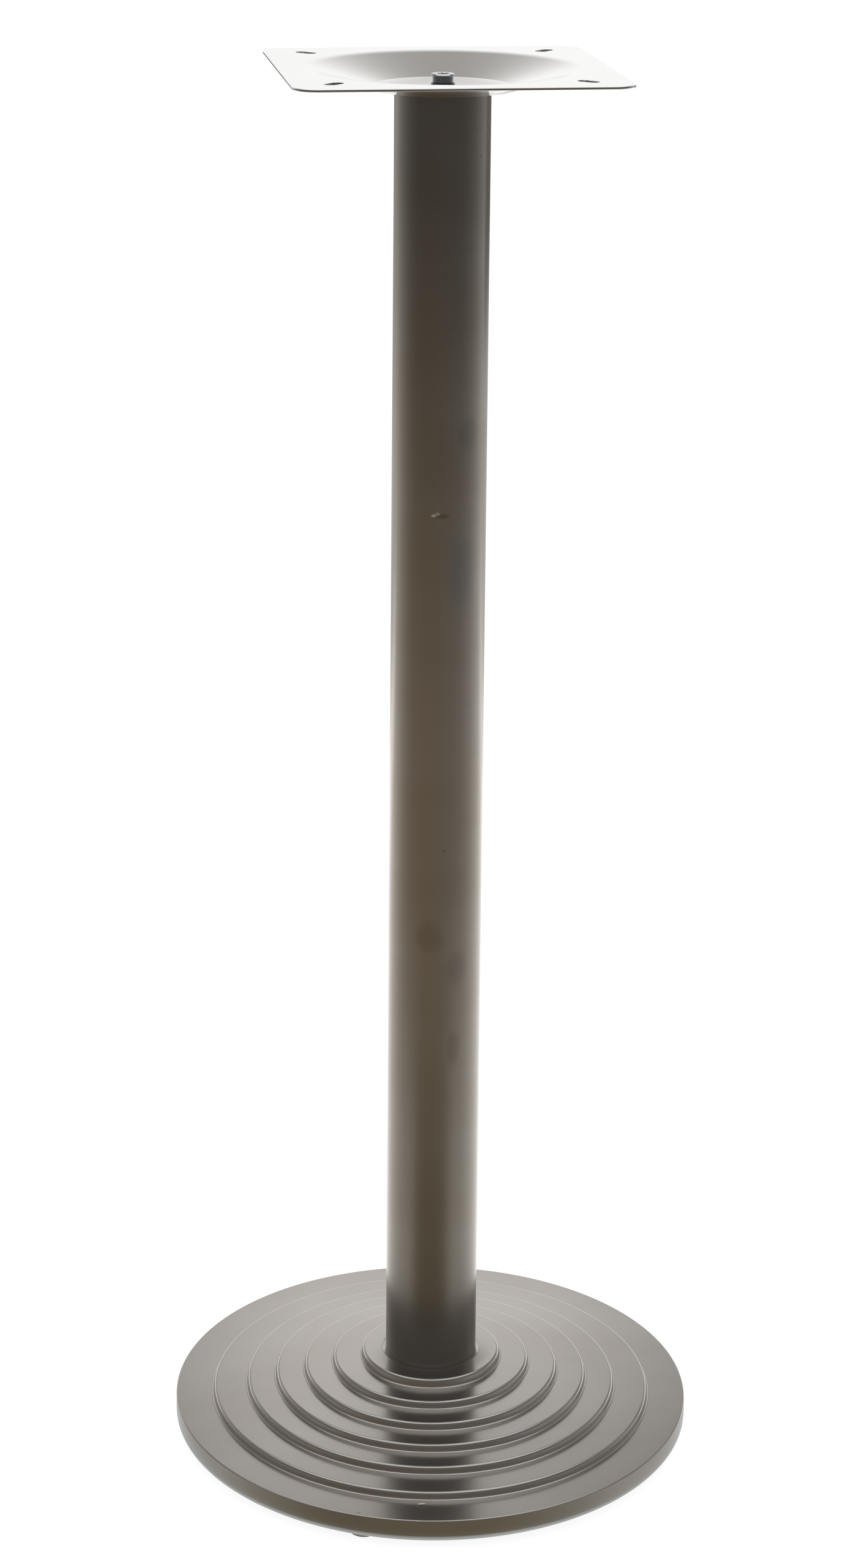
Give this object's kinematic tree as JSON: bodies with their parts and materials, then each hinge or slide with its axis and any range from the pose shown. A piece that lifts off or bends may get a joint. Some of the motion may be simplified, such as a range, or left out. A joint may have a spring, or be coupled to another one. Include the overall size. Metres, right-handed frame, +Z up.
{
  "type": "pedestal table base",
  "caption": "Bar-height pedestal table base: round stepped foot, plain round column and a dished square plate with slots for a table top.",
  "frame": {"origin": "centre of the base, on the floor that the glides stand on", "axes": "+Z up the column, X and Y along the edges of the square top plate"},
  "size_m": [0.414, 0.414, 1.105],
  "materials": {
    "satin_steel": "satin, brushed",
    "plate_steel": "fine satin",
    "casting": "black paint on cast iron",
    "plated_steel": "zinc plated",
    "plain_steel": "turned, bare",
    "screw_steel": "dark plated",
    "glide_steel": "satin",
    "rubber": "matt"
  },
  "bodies": {
    "root": {"base_cover": "satin_steel", "column_tube": "satin_steel", "top_plate": "plate_steel", "ballast_casting": "casting", "base_bolt": "plated_steel", "base_spring_washer": "plated_steel", "base_washer": "plated_steel", "column_lower_disc": "plain_steel", "column_upper_disc": "plain_steel", "top_screw": "screw_steel", "top_spring_washer": "screw_steel", "glide_cup_1": "glide_steel", "glide_pad_1": "rubber", "glide_cup_2": "glide_steel", "glide_pad_2": "rubber", "glide_cup_3": "glide_steel", "glide_pad_3": "rubber", "glide_cup_4": "glide_steel", "glide_pad_4": "rubber", "glide_cup_5": "glide_steel", "glide_pad_5": "rubber"}
  },
  "joints": []
}
